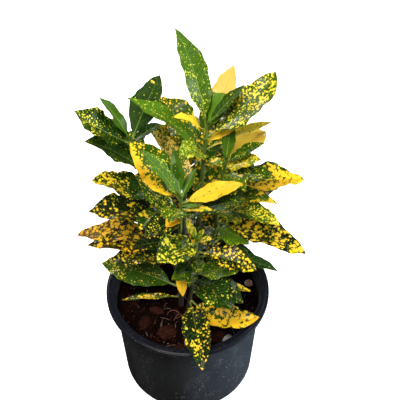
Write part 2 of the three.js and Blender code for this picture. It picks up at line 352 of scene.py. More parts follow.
def potProfile():
    top = pot["height"]
    under = top - pot["wall"]
    lip = top - pot["rimDepth"]
    inner = pot["neckRadius"] - pot["wall"]
    rim, edge, low = pot["rimRadius"], pot["rimEdge"], top - pot["rimDip"]
    corner = pot["baseCorner"]
    bead = pot["beadRadius"]
    return [
        (0.01, 0),
        *arcPoints((pot["baseRadius"] - corner, corner), corner, -90, 0, 8),
        *[(wallRadius(height), height) for height in (40, 75, 110, 140)],
        *arcPoints((wallRadius(under) + 1.2, under - 1.2), 1.2, 180, 90, 4),
        (rim - edge, under),
        (rim - edge, lip + 0.4),
        *arcPoints((rim - edge + 0.5, lip + 0.4), 0.4, 180, 270, 3),
        *arcPoints((rim - 0.5, lip + 0.5), 0.5, 270, 360, 3),
        *arcPoints((rim - 1.2, low - 1.2), 1.2, 0, 90, 5),
        (bead + 1.3, low),
        *arcPoints((bead, low - 0.1), 0.8, 40, 140, 5),
        (bead - 1.3, low),
        (inner + 2.4, low - 0.15),
        *arcPoints((inner + 1.2, low - 1.35), 1.2, 90, 180, 5),
        *[(wallRadius(height) - pot["wall"], height) for height in (136, 110, 75, 40, corner + 2)],
        (pot["baseRadius"] - corner, pot["floor"]),
        (0.01, pot["floor"]),
    ]


def potFinish():
    finish = Finish("charcoalPlastic", Specular_IOR_Level=0.14)
    place = finish.place()
    height = place.part(2)
    haze = place.stretched((1, 1, 0.6)).cloud(pot["hazeScale"], 5)
    streaks = place.stretched((1, 1, 0.08)).cloud(pot["streakScale"], 3)
    # painted sheen: the plastic turns greyer towards the right side, where light falls on it
    side = (place.part(0) * 6 + 0.35).clamped()
    # painted shade: the rim's top is darker, with less dust and no greying
    shadedRimTop = ((height - pot["rimTopStart"]) * 1200).clamped()
    # the greyed share: random haze and streaks, plus the painted sheen on the right
    wearAndSheen = ((haze - 0.42) * 2.2 + (streaks - 0.5) * 0.5 + side * 0.55).clamped() * (1 - shadedRimTop)
    colour = finish.mix(pot["colour"], pot["rim"], shadedRimTop)
    colour = colour.towards(pot["greyedAndSheen"], wearAndSheen * 0.55)

    # specks of dust in patches, dried splashes and a thin film: each cell shows one or none
    fromSpeck = place.cells(pot["speckScale"])
    speckDraw = place.cells(pot["speckScale"], "Color").part(0)
    patch = ((place.cloud(pot["patchScale"], 3) - 0.52) * 7).clamped()
    specks = ((0.34 - fromSpeck) * 9).clamped() * ((speckDraw - 0.68) * 30).clamped()
    specks = specks * (patch + 0.16).clamped()
    fromSplash = place.cells(pot["splashScale"])
    splashDraw = place.cells(pot["splashScale"], "Color").part(1)
    splashes = ((0.20 - fromSplash) * 12).clamped() * ((splashDraw - 0.83) * 30).clamped()
    film = ((place.cloud(pot["filmScale"], 6) - 0.56) * 4).clamped() * 0.10
    dust = specks.atLeast(splashes * 0.8).atLeast(film) * (1 - shadedRimTop * 0.8)
    finish.into("Base Color", colour.towards(pot["dust"], dust * 0.85))
    finish.into("Roughness", (0.34 + haze * 0.18 + dust * 0.35 - shadedRimTop * 0.1).clamped())
    moulded = (height * pot["mouldLines"]).sine() * 0.04
    finish.bump(place.cloud(900, 3) * 0.25 + streaks * 0.2 + dust * 0.5 + moulded, 0.35, 0.0004)
    return finish


def makePot():
    profile = potProfile()
    sides = pot["sides"]
    points = turnedRings(profile, sides)
    faces = skinFaces(len(profile), sides, True, True)
    piece = newPiece("nursery_pot", points, faces, [potFinish()], ["pot"], smoothAngle=35)

    # the drain holes, cut by a set of plain drills
    drillMesh = bmesh.new()
    circle, radius = pot["drainCircle"], pot["drainRadius"] * mm
    for hole in range(pot["drainHoles"]):
        angle = 2 * math.pi * (hole + 0.5) / pot["drainHoles"]
        middle = (circle * math.cos(angle) * mm, circle * math.sin(angle) * mm, 0)
        bmesh.ops.create_cone(drillMesh, cap_ends=True, segments=pot["drillSides"], radius1=radius,
                              radius2=radius, depth=0.01, matrix=Matrix.Translation(middle))
    drillData = bpy.data.meshes.new("drill")
    drillMesh.to_mesh(drillData)
    drillMesh.free()
    drill = bpy.data.objects.new("drill", drillData)
    bpy.context.scene.collection.objects.link(drill)
    cut = piece.modifiers.new("drainHoles", "BOOLEAN")
    cut.operation = "DIFFERENCE"
    cut.object = drill
    graph = bpy.context.evaluated_depsgraph_get()
    done = bpy.data.meshes.new_from_object(piece.evaluated_get(graph))
    piece.modifiers.clear()
    piece.data = done
    bpy.data.objects.remove(drill)
    print("pot:", len(done.polygons), "faces")


makePot()


# potting mix: a lumpy bed, husk chunks, stones, crumbs and roots

mix = {
    "edgeHeight": 128, "crown": 4, "gap": 0.3,
    "rings": 84, "sides": 220,
    "lumps": 2.6, "grain": 0.9,   # millimetres up and down
    "settle": 0.8,                # how far the lumpy bed lies under the plain one
    "crumbScale": 300, "patchScale": 60, "paleScale": 420, "fibreScale": 210,
    # the mix's own dark browns, made darker still as painted shade from the leaves above
    "dark": (0.0022, 0.0008, 0.0006, 1),
    "brown": (0.0085, 0.0024, 0.0012, 1),
    "husk": (0.027, 0.0065, 0.0030, 1),
    "pale": (0.26, 0.20, 0.15, 1),
    "stone": (0.50, 0.33, 0.25, 1),
    "grey": (0.16, 0.16, 0.16, 1),
    # x, y, length, width, height, turn, kind
    "chunks": [
        [-22, -54, 26, 18, 12, 20, "husk"],
        [24, -38, 24, 13, 10, -35, "husk"],
        [32, -60, 28, 18, 12, 10, "husk"],
        [48, -64, 16, 12, 10, 60, "grey"],
        [-52, -40, 22, 14, 8, 80, "husk"],
        [-66, -4, 20, 15, 8, 30, "husk"],
        [-38, -22, 18, 10, 8, -20, "husk"],
        [-10, -76, 20, 12, 8, 0, "husk"],
        [70, -26, 18, 12, 9, 75, "husk"],
        [77, 22, 11, 10, 9, 0, "stone"],
        [58, -6, 16, 10, 8, 15, "husk"],
        [50, 40, 24, 16, 10, 40, "husk"],
        [8, 68, 26, 15, 10, -10, "husk"],
        [-44, 52, 24, 16, 10, 25, "husk"],
        [-70, 28, 16, 12, 8, 70, "husk"],
    ],
    "crumbs": 520, "chips": 150, "crumbReach": 86, "crumbSeed": 11,
    # a crumb is of the first kind whose number its draw, from 0 to 1, passes
    "crumbKinds": [(0.972, "pale"), (0.955, "stone"), (0.45, "husk"), (-1, "brown")],
    # thin roots: x, y, heading, length, radius, arch in millimetres, redness
    "plainRoots": [
        [12, -22, -50, 16, 0.9, 5, 0],
        [16, -26, -62, 12, 0.7, 4, 0],
        [22, -50, 40, 14, 0.5, 4, 0],
        [-6, -30, -170, 13, 0.8, 5, 1],
        [-10, -26, 175, 16, 0.9, 6, 1],
        [-2, -33, -160, 11, 0.7, 4, 1],
        [36, -46, 70, 14, 0.5, 3, 0],
    ],
    "fineRoots": 46, "rootReach": 84, "rootSeed": 5,
    "rootSides": 6, "rootSteps": 9,
    "rootPale": (0.30, 0.22, 0.17),
    "rootRed": (0.20, 0.045, 0.040),
    "rootDark": (0.05, 0.03, 0.02, 1),
}


def mixHeight(x, y):
    radius = math.hypot(x, y)
    return mix["edgeHeight"] + mix["crown"] * (1 - (radius / pot["neckRadius"]) ** 2)


# the same with its lumps, where crumbs and roots lie
def bedHeight(x, y):
    lump = noise.fractal(Vector((x, y, 0)) * 0.045, 0.8, 2.1, 4)
    grain = noise.fractal(Vector((x, y, 40)) * 0.35, 0.7, 2.2, 3)
    return mixHeight(x, y) + (mix["lumps"] * lump + mix["grain"] * grain) - mix["settle"]


def bedFinish():
    finish = Finish("barkMix", Specular_IOR_Level=0.02)
    place = finish.place()
    crumb = place.cells(mix["crumbScale"])
    tone = place.cells(mix["crumbScale"], "Color").part(0)
    patch = place.cloud(mix["patchScale"], 5)
    colour = finish.mix(mix["dark"], mix["brown"], (tone * 0.5 + (patch - 0.5) * 1.1).clamped())
    # a few pale grains
    paleDraw = place.cells(mix["paleScale"], "Color").part(1)
    grain = ((0.35 - place.cells(mix["paleScale"])) * 8).clamped()
    pale = ((paleDraw - 0.965) * 60).clamped() * grain
    finish.into("Base Color", colour.towards(mix["pale"], pale * 0.6))
    finish.into("Roughness", 0.72 + patch * 0.25)
    finish.bump((1 - crumb) + place.cloud(900, 4) * 0.6, 0.8, 0.0016)
    return finish


def bitFinish():
    finish = Finish("huskAndStone", Specular_IOR_Level=0.05)
    place = finish.place()
    tint = finish.attribute("bitTint")
    fibre = place.stretched((1, 1, 2.4)).cloud(mix["fibreScale"], 6)
    colour = finish.mix(tint, mix["dark"], ((0.62 - fibre) * 2.4).clamped())
    glints = ((fibre - 0.6) * 5).clamped()
    finish.into("Base Color", colour.towards(mix["pale"], glints * 0.08))
    finish.into("Roughness", 0.55 + fibre * 0.4)
    finish.bump(fibre + place.cloud(1300, 3) * 0.4, 0.9, 0.0012)
    return finish


def mixRadius(height):
    return wallRadius(height) - pot["wall"] - mix["gap"]


def makeBed():
    sides, rings = mix["sides"], mix["rings"]
    edge = mixRadius(mix["edgeHeight"]) - 0.1
    skirt = [
        (pot["baseRadius"] - pot["baseCorner"] - 4, pot["floor"] + mix["gap"]),
        (mixRadius(16) - 0.6, 16),
        (mixRadius(70) - 0.1, 70),
        (mixRadius(118) - 0.1, 118),
    ]
    points = turnedRings(skirt, sides)
    for ring in range(rings):
        radius = edge * (1 - ring / rings) ** 0.85
        for side in range(sides):
            angle = 2 * math.pi * side / sides
            x, y = radius * math.cos(angle), radius * math.sin(angle)
            points.append((x * mm, y * mm, bedHeight(x, y) * mm))
    faces = skinFaces(len(skirt) + rings, sides, True, True)
    newPiece("potting_mix_bed", points, faces, [bedFinish()], ["potting_mix"],
             smoothAngle=180)
    print("mix bed:", len(faces), "faces")


# a rough lump: a ball pushed in and out by noise, squashed to size and turned
def addLump(store, centre, size, turns, roughness, detail, tint, seed):
    ball = bmesh.new()
    bmesh.ops.create_icosphere(ball, subdivisions=detail, radius=0.5)
    offset = Vector((seed * 7.3, seed * 3.1, seed * 5.7))
    roll, pitch, yaw = (Matrix.Rotation(turn, 3, axis) for turn, axis in zip(turns, "XYZ"))
    spin = yaw @ pitch @ roll
    first = len(store["points"])
    for vertex in ball.verts:
        facets = noise.cell(vertex.co * 3.1 + offset) * 0.3
        swell = noise.fractal(vertex.co * 2.6 + offset, 0.9, 2.2, 4)
        push = 1 + roughness * (swell + facets - 0.1)
        point = spin @ Vector(vertex.co[axis] * push * size[axis] for axis in range(3))
        store["points"].append([(centre[axis] + point[axis]) * mm for axis in range(3)])
        store["tints"].append(tint)
    for face in ball.faces:
        store["faces"].append([first + vertex.index for vertex in face.verts])
    ball.free()


def makeBits(finish):
    draw = random.Random(mix["crumbSeed"])
    big = {"points": [], "faces": [], "tints": []}
    for number, (x, y, length, width, height, turn, kind) in enumerate(mix["chunks"]):
        tone = draw.uniform(0.75, 1.25)
        tint = [channel * tone for channel in mix[kind][:3]]
        sunk, roughness = (1.2, 0.34) if kind == "husk" else (0.5, 0.12)
        centre = (x, y, mixHeight(x, y) - sunk)
        turns = (draw.uniform(-0.1, 0.1), draw.uniform(-0.1, 0.1), math.radians(turn))
        addLump(big, centre, (length, width, height), turns, roughness, 4, tint, number)
    piece = newPiece("husk_chunks", big["points"], big["faces"], [finish],
                     smoothAngle=50)
    addVectors(piece, "bitTint", big["tints"])

    # crumbs, and then longer chips: mostly husk, with a few stones and pale grains
    small = {"points": [], "faces": [], "tints": []}
    for number in range(mix["crumbs"] + mix["chips"]):
        radius = mix["crumbReach"] * math.sqrt(draw.random())
        angle = draw.uniform(0, 2 * math.pi)
        x, y = radius * math.cos(angle), radius * math.sin(angle)
        chip = number >= mix["crumbs"]
        length = draw.uniform(4, 9) if chip else draw.uniform(1.4, 3.6)
        width = length * (draw.uniform(0.22, 0.5) if chip else draw.uniform(0.6, 1))
        height = length * (draw.uniform(0.15, 0.3) if chip else draw.uniform(0.5, 0.8))
        luck = draw.random()
        kind = next(kind for least, kind in mix["crumbKinds"] if luck > least)
        tone = draw.uniform(0.5, 1.5)
        tint = [channel * tone for channel in mix[kind][:3]]
        if kind in ("pale", "stone"):
            length, width, height = length * 0.6, width * 0.6, height * 0.8
        centre = (x, y, bedHeight(x, y) + height * 0.2)
        turns = (draw.uniform(-0.4, 0.4), draw.uniform(-0.4, 0.4), draw.uniform(0, math.pi))
        addLump(small, centre, (length, width, height), turns, 0.3, 2 if chip else 1, tint, number)
    piece = newPiece("bark_crumbs", small["points"], small["faces"], [finish],
                     smoothAngle=50)
    addVectors(piece, "bitTint", small["tints"])
    print("husk:", len(big["faces"]), "faces, crumbs:", len(small["faces"]), "faces")


def rootFinish():
    finish = Finish("dryRoots", Roughness=0.75, Specular_IOR_Level=0.3)
    place = finish.place()
    tint = finish.attribute("bitTint")
    finish.into("Base Color", tint.towards(mix["rootDark"], place.cloud(160, 4)))
    finish.bump(place.cloud(1500, 3), 0.5, 0.0003)
    return finish


def makeRoots():
    draw = random.Random(mix["rootSeed"])
    rows = list(mix["plainRoots"])
    for number in range(mix["fineRoots"]):
        radius = mix["rootReach"] * math.sqrt(draw.random())
        angle = draw.uniform(0, 2 * math.pi)
        rows.append([radius * math.cos(angle), radius * math.sin(angle), draw.uniform(0, 360),
                     draw.uniform(5, 18), draw.uniform(0.15, 0.35), draw.uniform(0.5, 2.5), 0])
    points, faces, tints = [], [], []
    sides, steps = mix["rootSides"], mix["rootSteps"]
    for x, y, heading, length, radius, arch, redness in rows:
        bend = draw.uniform(-50, 50)
        first = len(points)
        stride = length / (steps - 1)
        for step in range(steps):
            share = step / (steps - 1)
            turn = math.radians(heading + bend * share)
            if step:
                x += stride * math.cos(turn)
                y += stride * math.sin(turn)
            # kept inside the pot's wall
            inside = min(1, mix["rootReach"] / max(1, math.hypot(x, y)))
            cx, cy = x * inside, y * inside
            height = bedHeight(cx, cy) + arch * math.sin(math.pi * share) + 0.1
            thick = radius * (1 - 0.55 * share)
            for side in range(sides):
                around = 2 * math.pi * side / sides
                across, above = thick * math.cos(around), thick * math.sin(around)
                px, py = cx - across * math.sin(turn), cy + across * math.cos(turn)
                points.append((px * mm, py * mm, (height + above) * mm))
                tints.append(mix["rootRed"] if redness else mix["rootPale"])
        faces += skinFaces(steps, sides, True, True, first)
    piece = newPiece("loose_roots", points, faces, [rootFinish()])
    addVectors(piece, "bitTint", tints)
    print("roots:", len(rows))


makeBed()
makeBits(bitFinish())
makeRoots()


# leafy stems, in millimetres and degrees

leafForm = {
    "rowLength": 17,                        # numbers in a full row of the tables below
    "steps": 24, "finer": 2,
    "stalkShare": 0.13, "stalkRadius": 1.2,
    "edgeThickness": 0.6, "ribThickness": 1.3,
    "ribReach": 1.3, "groove": 0.35,        # the raised midrib, and its groove on top
    "stalkBlend": 2.5,                      # flat once it is this much wider than its stalk
    "tipShare": 0.6, "tipHalfWidth": 0.35,  # past this share a narrow part is the tip
    "veinGap": 6.2,
    "fold": 18, "basePower": 0.85, "tipPower": 0.95,
    "waveShare": 0.065, "waveCount": 2, "waveLag": 1.3, "fullWaveHalfWidth": 8, "phaseStep": 2.4,
    "goldShare": 0.72,                      # flecks run together, so fewer than asked
    "frill": 0.016, "frillCount": 7,        # small ripples on top of the waves
    "scallop": 0.035, "scallopCount": 5,    # a slightly uneven outline
    "columns": [-1, -0.9, -0.72, -0.48, -0.24, -0.07, 0, 0.07, 0.24, 0.48, 0.72, 0.9, 1],
}

# path: foot, handle and tip; radii at foot and tip; then the leaves.
# A leaf is: place along the stem, heading, rise, length, width, droop, sweep, roll, and then its
# markings: gold in per cent, size of a fleck in mm, age with painted shade (set higher, so darker,
# for leaves deep in the crown), warmth of the gold, gold towards the margin and towards the tip,
# dryness, dullness and gold towards the left margin, in per cent.
# What a row leaves out at its end is 0. Warmth runs from greenish (-100) over lemon (0) to
# amber (100), and from lemon (just over 100) to peach (200).
stems = {
    "middle_stem": {
        "path": [(8, 6, 136), (14, 14, 272), (22, 10, 402)],
        "radii": (3.8, 1.5),
        "leaves": [
            [0.98, 104, 60, 105, 29, 12, 32, 0,  14, 2.3, 50, -70, 15, -30, 0, 0, 15],
            [0.95, 40, 58, 76, 28, 12, 24, 0,  50, 26, 15, 195, 0, 400],
            [0.99, 20, 50, 58, 14, 6, 0, 10,  4, 3, 68, 5],
            [0.93, -8, 41, 102, 42, 14, 68, 0,  46, 2.6, 64, -20, 0, 20],
            [0.92, -158, 80, 56, 18, 60, 0, 0,  99, 6, 20, 12],
            [0.89, 15, 47, 58, 14, 30, 0, 50,  97, 5, 30, 55],
            [0.86, 20, 25, 78, 15, 25, 0, 0,  91, 2.6, 45, -15],
            [0.84, -122, 52, 58, 30, 30, 0, -25,  46, 1.9, 42, -62],
            [0.86, -179, 53, 105, 27, 20, 0, 0,  8, 2.6, 32, -60, 0, 20],
            [0.88, 75, 42, 70, 26, 20, 0, 0,  30, 4, 60, 55, 0, 10],
            [0.76, 115, 35, 74, 28, 30, 0, 0,  38, 6, 60, 55],
            [0.7, 62, 28, 84, 30, 35, 0, 0,  34, 5, 65, 50, 0, 10],
            [0.79, -45, 42, 32, 18, 30, 0, 0,  50, 3.5, 40, 35],
            [0.68, -102, 48, 35, 13, 30, 0, 0,  30, 4, 50, 45],
            [0.22, 6, 4, 103, 21, 32, -18, 0,  2, 3, 76, -20],
            [0.55, 72, 22, 88, 38, 30, 0, 0,  30, 5, 75, 60],
            [0.44, 88, 12, 88, 30, 30, 0, 0,  36, 6, 85, 65],
            [0.66, 165, 22, 74, 35, 30, 0, 0,  32, 5, 60, 50, 0, 10],
            [0.5, 30, 15, 80, 30, 30, 0, 0,  28, 5, 75, 55],
            [0.2, 75, 12, 84, 38, 35, 0, 0,  34, 6, 85, 65],
            [0.12, 30, 15, 80, 30, 35, 0, 0,  26, 5, 90, 60, 10],
            [0.42, -71, 35, 52, 22, 30, 0, 0,  10, 3, 70, 10],
            [0.6, 148, 56, 94, 24, 20, 0, 0,  72, 2.2, 50, 170],
        ],
    },
    "left_stem": {
        "path": [(-9, 2, 136), (-22, 8, 272), (-56, 0, 388)],
        "radii": (3.4, 1.5),
        "leaves": [
            [0.98, -168, 37, 75, 38, -16, 0, -15,  15, 2.4, 80, -38, 0, 60],
            [0.8, -163, 61, 85, 34, 30, 0, -12,  6, 2.2, 72, -30, 25],
            [1, 148, 65, 58, 17, 10, 30, 0,  0, 4, 45, 10],
            [0.99, 64, 39, 78, 32, 15, 0, 0,  3, 4, 74, -20, 0, 30, 0, 100],
            [0.62, -172, 44, 79, 40, 25, 0, 0,  34, 3.0, 88, 22, 0, 60],
            [0.52, -164, 31, 86, 44, 20, 0, 0,  30, 5, 100, 60],
            [0.38, 175, 6, 108, 38, 20, 0, 0,  54, 4.4, 100, 91, 0, 40, 34, 70],
            [0.3, -170, 25, 100, 29, 20, 0, 0,  34, 5, 100, 90],
            [0.22, -164, 40, 82, 36, 45, 0, 0,  26, 3.2, 97, 60],
            [0.97, 154, 44, 42, 20, 20, 0, -15,  3, 3, 74, -20],
            [0.78, 118, 25, 70, 34, 30, 0, 0,  30, 5, 55, 45],
            [0.6, 102, 10, 70, 38, 30, 0, 0,  34, 5, 70, 55],
            [0.46, 145, 5, 86, 40, 30, 0, 0,  36, 6, 85, 65],
            [0.55, -114, 44, 52, 24, 50, 0, 0,  26, 4, 75, 40],
            [0.34, 112, 12, 76, 28, 35, 0, 0,  30, 5, 80, 60],
            [0.7, -112, 50, 54, 30, 40, 0, -10,  6, 3, 80, 10],
            [0.99, 0, 45, 40, 16, 10, 0, 15,  2, 3, 85, 5],
        ],
    },
    "front_stem": {
        "path": [(-8, -14, 136), (-8, -26, 252), (-4, -45, 350)],
        "radii": (3, 1.5),
        "leaves": [
            [0.96, 5, 23, 67, 20, 5, 0, 20,  95, 2.4, 20, 55, 0, 0, 8, 60],
            [0.9, -17, 26, 36, 10, 20, 0, 0,  85, 3, 20, 30],
            [0.97, 157, 60, 84, 38, 20, 0, -35,  50, 2.6, 62, 55, 80, 60, 0, 0, 90],
            [0.99, -162, 69, 88, 22, 10, 0, -28,  12, 1.7, 46, -70, 30, 0, 0, 90],
            [1, 107, 65, 54, 14, 8, 0, 0,  0, 3, 52, 5, 0, 0, 0, 30],
            [1, 55, 43, 35, 10, 5, 0, 0,  0, 3, 46, 5, 0, 0, 0, 30],
            [0.9, -109, 45, 38, 24, 40, 0, 0,  24, 2.2, 55, -40],
            [0.15, 157, 10, 108, 38, 25, 0, -25,  12, 2.8, 66, -5, 0, 60],
            [0.74, 174, 65, 82, 28, 14, 0, -22,  24, 2.2, 70, -30],
            [0.8, -132, 34, 56, 28, 30, 0, -8,  15, 2.4, 94, 20],
            [0.83, -121, 24, 29, 15, 6, 0, 0,  96, 6, 90, 100],
            [0.58, -155, 40, 60, 26, 40, 0, 0,  8, 4, 97, 40],
            [0.82, -4, 40, 74, 28, 30, 0, 0,  7, 3, 75, 10],
            [0.06, 176, -4, 75, 15, 13, 0, 22,  50, 4, 80, 50],
            [0.27, -84, 38, 34, 13, 70, 0, 0,  99, 4, 60, 60],
        ],
    },
    "right_stem": {
        "path": [(18, 0, 136), (34, 4, 252), (42, 0, 362)],
        "radii": (3.2, 1.5),
        "leaves": [
            [0.99, 74, 58, 44, 15, 5, 0, 0,  0, 4, 42, 5],
            [0.98, 46, 14, 64, 34, 20, 0, 0,  99, 4, 30, 135],
            [0.97, -16, 53, 56, 15, 15, 0, 25,  12, 2.2, 66, -30],
            [0.94, -26, 47, 50, 22, 20, 0, 20,  78, 2.4, 30, 25],
            [0.88, -30, 41, 67, 22, 30, 0, 15,  18, 2.2, 68, -30],
            [0.82, 11, 6, 93, 42, 20, 0, 0,  74, 3.6, 76, 62, 0, 60, 0, 0, -40],
            [0.7, -38, 29, 82, 26, 35, 0, 0,  48, 2.4, 62, -25, 0, 20],
            [0.74, -24, 31, 69, 18, 30, 0, 0,  40, 4, 60, 45, 0, 60],
            [0.56, -28, 18, 110, 39, 30, 0, 0,  48, 4.5, 100, 55, 0, 14],
            [0.52, -41, 29, 50, 34, 40, 0, 10,  12, 2.2, 18, -40, 20],
            [0.9, -63, 40, 50, 20, 40, 0, 0,  28, 4, 50, 35],
            [0.62, -54, 51, 46, 20, 50, 0, 0,  30, 3, 40, 25],
            [0.78, 60, 20, 66, 38, 30, 0, 0,  36, 5, 55, 50],
            [0.62, 35, 15, 92, 40, 30, 0, 0,  38, 6, 70, 60],
            [0.48, 62, 18, 88, 38, 30, 0, 0,  32, 5, 85, 60],
            [0.4, 40, 8, 80, 40, 30, 0, 0,  36, 6, 90, 65],
            [0.7, 90, 30, 76, 28, 30, 0, 0,  28, 5, 60, 45],
            [0.3, 75, 30, 80, 35, 35, 0, 0,  30, 5, 85, 60],
            [0.15, 100, 30, 72, 28, 40, 0, 0,  26, 5, 90, 60],
        ],
    },
    "back_stem": {
        "path": [(-4, 22, 136), (-6, 42, 242), (2, 54, 330)],
        "radii": (3.2, 1.5),
        "leaves": [
            [0.98, 112, 66, 70, 42, 50, 30, 0,  34, 3.2, 64, 62],
            [0.93, 176, 58, 64, 28, 30, 0, 0,  62, 2.2, 60, 140],
            [0.92, 80, 30, 60, 24, 30, 0, 0,  30, 5, 50, 45],
            [0.82, 50, 32, 76, 28, 30, 0, 0,  40, 6, 60, 55],
            [0.74, 100, 20, 90, 38, 35, 0, 0,  34, 5, 70, 55],
            [0.64, 150, 15, 66, 40, 30, 0, 0,  44, 6, 75, 60],
            [0.54, 70, 10, 96, 40, 30, 0, 0,  30, 5, 80, 55],
            [0.46, 120, 10, 98, 36, 30, 0, 0,  36, 6, 85, 65],
            [0.36, 30, 5, 96, 40, 30, 0, 0,  30, 5, 85, 60],
            [0.28, 165, 5, 92, 40, 30, 0, 0,  38, 6, 90, 65],
            [0.22, 90, 10, 96, 30, 35, 0, 0,  30, 6, 95, 60],
            [0.88, 120, 25, 66, 26, 30, 0, 0,  22, 4, 40, 30],
            [0.7, 45, 12, 80, 35, 30, 0, 0,  46, 5, 65, 55, 0, 20],
            [0.5, 15, 12, 84, 38, 30, 0, 0,  34, 5, 80, 60],
            [0.15, 135, 15, 86, 38, 35, 0, 0,  28, 5, 90, 60],
            [0.12, 62, 20, 90, 38, 35, 0, 0,  32, 6, 95, 65],
        ],
    },
    "low_stem": {
        "path": [(1, -20, 136), (8, -29, 204), (12, -40, 280)],
        "radii": (2.6, 1.4),
        "leaves": [
            [0.53, -2, 25, 57, 30, 22, 0, 8,  26, 2.3, 40, -70],
            [0.43, -48, 30, 70, 44, 40, 0, 0,  14, 3.3, 80, -25],
            [0.47, -32, 16, 68, 34, 30, 0, 5,  5, 2.4, 86, -30],
            [0.13, -50, -2, 92, 34, -10, 60, 10,  82, 4, 92, 62, 0, 50, 0, 0, -40],
            [0.11, -81, 26, 104, 34, 50, 0, 0,  21, 3.9, 97, 42, 0, 10],
            [0.49, -137, 52, 40, 20, 34, 0, 0,  14, 3, 40, 15],
            [0.6, -24, 85, 36, 12, 10, 0, 0,  6, 3, 20, 10],
            [0.36, -6, 14, 70, 15, 30, 0, 0,  40, 3, 60, 40, 0, 80],
            [0.97, -135, 33, 60, 42, 36, 0, -8,  46, 3.4, 74, -30],
            [0.99, 124, 43, 27, 9, 10, 0, 0,  74, 2.4, 12, 10],
            [0.99, -18, 37, 20, 10, 10, 0, 0,  88, 2.4, 25, 20],
            [0.99, 28, 66, 18, 8, 10, 0, 0,  45, 2.4, 15, 10],
            [0.68, -130, 36, 34, 18, 30, 0, 0,  3, 3, 80, 5],
            [0.86, -18, 8, 70, 30, 26, 0, 10,  44, 3.6, 100, 60, 0, 24],
        ],
    },
}

# buds at every tip, and small new leaves lower down
buds = [
    [1, 200, 76, 15, 6, 5, 0, 0,  0, 3, 20, 5],
    [1, -60, 62, 12, 5, 5, 0, 0,  0, 3, 30, 5],
]
newLeaves = {
    "front_stem": [
        [0.93, -8, 24, 24, 9, 10, 0, 15,  6, 2, 40, -40],
        [0.85, -14, 20, 24, 10, 10, 0, 10,  10, 2, 50, -40],
        [0.66, -84, 34, 34, 15, 30, 0, 0,  12, 2.4, 62, -20],
        [0.46, -58, 30, 36, 16, 30, 0, 0,  16, 3, 70, 10],
    ],
    "low_stem": [
        [0.78, -82, 30, 32, 15, 30, 0, 0,  14, 2.4, 60, -20],
        [0.62, -100, 26, 32, 15, 30, 0, 0,  10, 2.4, 66, -20],
    ],
    "middle_stem": [
        [0.9, -80, 58, 22, 8, 10, 0, 0,  30, 2, 40, -40],
    ],
}

leafTones = {
    "young": (0.092, 0.205, 0.006, 1),
    "old": (0.0058, 0.027, 0.0018, 1),
    "black": (0.0045, 0.0085, 0.0012, 1),
    "burnt": (0.030, 0.013, 0.003, 1),
    "lime": (0.22, 0.33, 0.010, 1),
    "fresh": (0.50, 0.58, 0.060, 1),
    "lemon": (0.79, 0.57, 0.030, 1),
    "amber": (0.76, 0.36, 0.008, 1),
    "peach": (0.85, 0.47, 0.105, 1),
    "rib": (0.24, 0.36, 0.05, 1),
    "under": (0.12, 0.20, 0.035, 1),
    "dry": (0.20, 0.085, 0.030, 1),
    "stalk": (0.20, 0.26, 0.055, 1),
}


